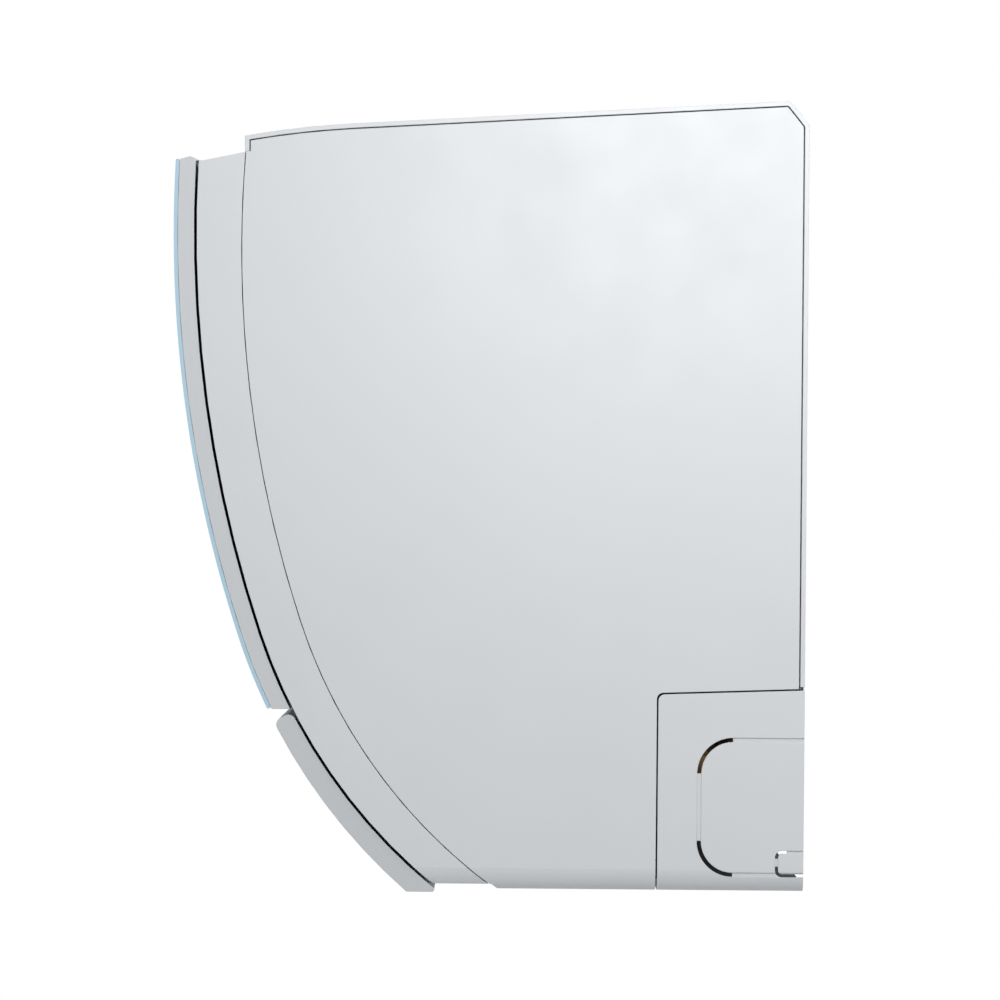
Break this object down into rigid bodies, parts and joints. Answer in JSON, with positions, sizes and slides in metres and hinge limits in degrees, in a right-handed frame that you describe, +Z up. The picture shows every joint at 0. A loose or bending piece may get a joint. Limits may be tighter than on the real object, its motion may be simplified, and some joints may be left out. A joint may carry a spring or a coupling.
{
  "type": "air conditioner indoor unit",
  "caption": "Wall-mounted split air conditioner indoor unit with curved front panel, swinging air flap, guide vanes, cross-flow fan, folded coil, rear pipe tails and wall plate.",
  "frame": {"origin": "middle of the wall plate's wall side", "axes": "+X along the unit to its right end seen from the room, +Y into the wall, +Z up"},
  "size_m": [0.87, 0.2402, 0.2991],
  "materials": {
    "board": "green circuit board",
    "brass": "turned brass",
    "chassis_white": "plain off-white moulded plastic",
    "clear_skin": "clear blue-tinted polished sheet",
    "copper": "drawn copper",
    "fan_grey": "glass-filled dark grey plastic",
    "filter_grey": "dark blue-grey moulded plastic",
    "fins": "thin aluminium fins",
    "flap_grey": "satin grey moulded plastic",
    "foam": "closed-cell foam",
    "inner_grey": "dark grey moulded plastic",
    "motor_black": "black moulded motor body",
    "net_grey": "fine woven nylon net",
    "panel_carrier": "satin light grey moulded plastic",
    "rubber": "black rubber",
    "smoked": "smoked clear plastic",
    "steel": "turned steel",
    "terminal": "black terminal moulding",
    "tinned": "galvanised sheet",
    "white_shell": "satin white moulded plastic",
    "zinc_steel": "zinc-plated steel sheet"
  },
  "bodies": {
    "casing": {"casing_screws": "steel", "coil_end_plate_left": "tinned", "coil_end_plate_right": "tinned", "coil_front_lower": "fins", "coil_front_upper": "fins", "coil_rear": "fins", "coil_tubes": "copper", "control_box": "tinned", "control_box_cover": "tinned", "corner_cover_left": "white_shell", "corner_cover_right": "white_shell", "display_board": "board", "display_window": "smoked", "fan_bearing": "rubber", "fan_motor": "motor_black", "filter_frame_left": "filter_grey", "filter_frame_right": "filter_grey", "filter_net_left": "net_grey", "filter_net_right": "net_grey", "flap_motor": "motor_black", "front_frame": "white_shell", "gas_flare_nut": "brass", "gas_pipe": "copper", "liquid_flare_nut": "brass", "liquid_pipe": "copper", "main_board": "board", "motor_clamp": "chassis_white", "motor_mounts": "rubber", "mounting_plate": "zinc_steel", "outlet_duct": "inner_grey", "pan_liner": "foam", "pipe_sensor": "copper", "rear_chassis": "chassis_white", "room_sensor": "terminal", "screw_caps": "white_shell", "side_cover_left": "white_shell", "side_cover_right": "white_shell", "terminal_block": "terminal", "top_shell": "white_shell", "vane_motor_left": "motor_black", "vane_motor_right": "motor_black"},
    "vane_left_1": {"vane_left_1": "inner_grey"},
    "vane_left_2": {"vane_left_2": "inner_grey"},
    "vane_left_3": {"vane_left_3": "inner_grey"},
    "vane_left_4": {"vane_left_4": "inner_grey"},
    "vane_link_left": {"vane_link_left": "inner_grey"},
    "vane_right_1": {"vane_right_1": "inner_grey"},
    "vane_right_2": {"vane_right_2": "inner_grey"},
    "vane_right_3": {"vane_right_3": "inner_grey"},
    "vane_right_4": {"vane_right_4": "inner_grey"},
    "vane_link_right": {"vane_link_right": "inner_grey"},
    "front_panel": {"front_panel_carrier": "panel_carrier", "front_panel_skin": "clear_skin"},
    "flap": {"flap_outer": "flap_grey", "flap_inner": "flap_grey"},
    "fan": {"fan_rotor": "fan_grey", "fan_shaft": "steel"},
    "manual_button": {"manual_button": "white_shell"}
  },
  "joints": [
    {"name": "vane_left_1_turn", "type": "hinge", "parent": "casing", "child": "vane_left_1", "pos_m": [-0.34925, -0.118, -0.14203], "axis": [0, -0.7071, 0.7071], "range_deg": [-30, 30]},
    {"name": "vane_left_2_turn", "type": "hinge", "parent": "casing", "child": "vane_left_2", "pos_m": [-0.26775, -0.118, -0.14203], "axis": [0, -0.7071, 0.7071], "range_deg": [-30, 30]},
    {"name": "vane_left_3_turn", "type": "hinge", "parent": "casing", "child": "vane_left_3", "pos_m": [-0.18625, -0.118, -0.14203], "axis": [0, -0.7071, 0.7071], "range_deg": [-30, 30]},
    {"name": "vane_left_4_turn", "type": "hinge", "parent": "casing", "child": "vane_left_4", "pos_m": [-0.10475, -0.118, -0.14203], "axis": [0, -0.7071, 0.7071], "range_deg": [-30, 30]},
    {"name": "vane_link_left_slide", "type": "slide", "parent": "casing", "child": "vane_link_left", "axis": [1, 0, 0], "range_m": [-0.0065, 0.0065]},
    {"name": "vane_right_1_turn", "type": "hinge", "parent": "casing", "child": "vane_right_1", "pos_m": [-0.02325, -0.118, -0.14203], "axis": [0, -0.7071, 0.7071], "range_deg": [-30, 30]},
    {"name": "vane_right_2_turn", "type": "hinge", "parent": "casing", "child": "vane_right_2", "pos_m": [0.05825, -0.118, -0.14203], "axis": [0, -0.7071, 0.7071], "range_deg": [-30, 30]},
    {"name": "vane_right_3_turn", "type": "hinge", "parent": "casing", "child": "vane_right_3", "pos_m": [0.13975, -0.118, -0.14203], "axis": [0, -0.7071, 0.7071], "range_deg": [-30, 30]},
    {"name": "vane_right_4_turn", "type": "hinge", "parent": "casing", "child": "vane_right_4", "pos_m": [0.22125, -0.118, -0.14203], "axis": [0, -0.7071, 0.7071], "range_deg": [-30, 30]},
    {"name": "vane_link_right_slide", "type": "slide", "parent": "casing", "child": "vane_link_right", "axis": [1, 0, 0], "range_m": [-0.0065, 0.0065]},
    {"name": "front_panel_open", "type": "hinge", "parent": "casing", "child": "front_panel", "pos_m": [0, -0.2319, 0.1059], "axis": [-1, 0, 0], "range_deg": [0, 60]},
    {"name": "flap_tilt", "type": "hinge", "parent": "casing", "child": "flap", "pos_m": [0, -0.124, -0.1575], "axis": [1, 0, 0], "range_deg": [0, 80]},
    {"name": "fan_spin", "type": "hinge", "parent": "casing", "child": "fan", "pos_m": [0, -0.108, -0.038], "axis": [1, 0, 0], "continuous": true},
    {"name": "manual_button_press", "type": "slide", "parent": "casing", "child": "manual_button", "axis": [0, 0.9777, 0.2102], "range_m": [0, 0.001], "stiffness_N_per_m": 400}
  ],
  "couplings": [
    {"joint": "vane_left_1_turn", "follows": "vane_link_left_slide", "rad_per_m": 80.553},
    {"joint": "vane_left_2_turn", "follows": "vane_link_left_slide", "rad_per_m": 80.553},
    {"joint": "vane_left_3_turn", "follows": "vane_link_left_slide", "rad_per_m": 80.553},
    {"joint": "vane_left_4_turn", "follows": "vane_link_left_slide", "rad_per_m": 80.553},
    {"joint": "vane_right_1_turn", "follows": "vane_link_right_slide", "rad_per_m": 80.553},
    {"joint": "vane_right_2_turn", "follows": "vane_link_right_slide", "rad_per_m": 80.553},
    {"joint": "vane_right_3_turn", "follows": "vane_link_right_slide", "rad_per_m": 80.553},
    {"joint": "vane_right_4_turn", "follows": "vane_link_right_slide", "rad_per_m": 80.553}
  ]
}
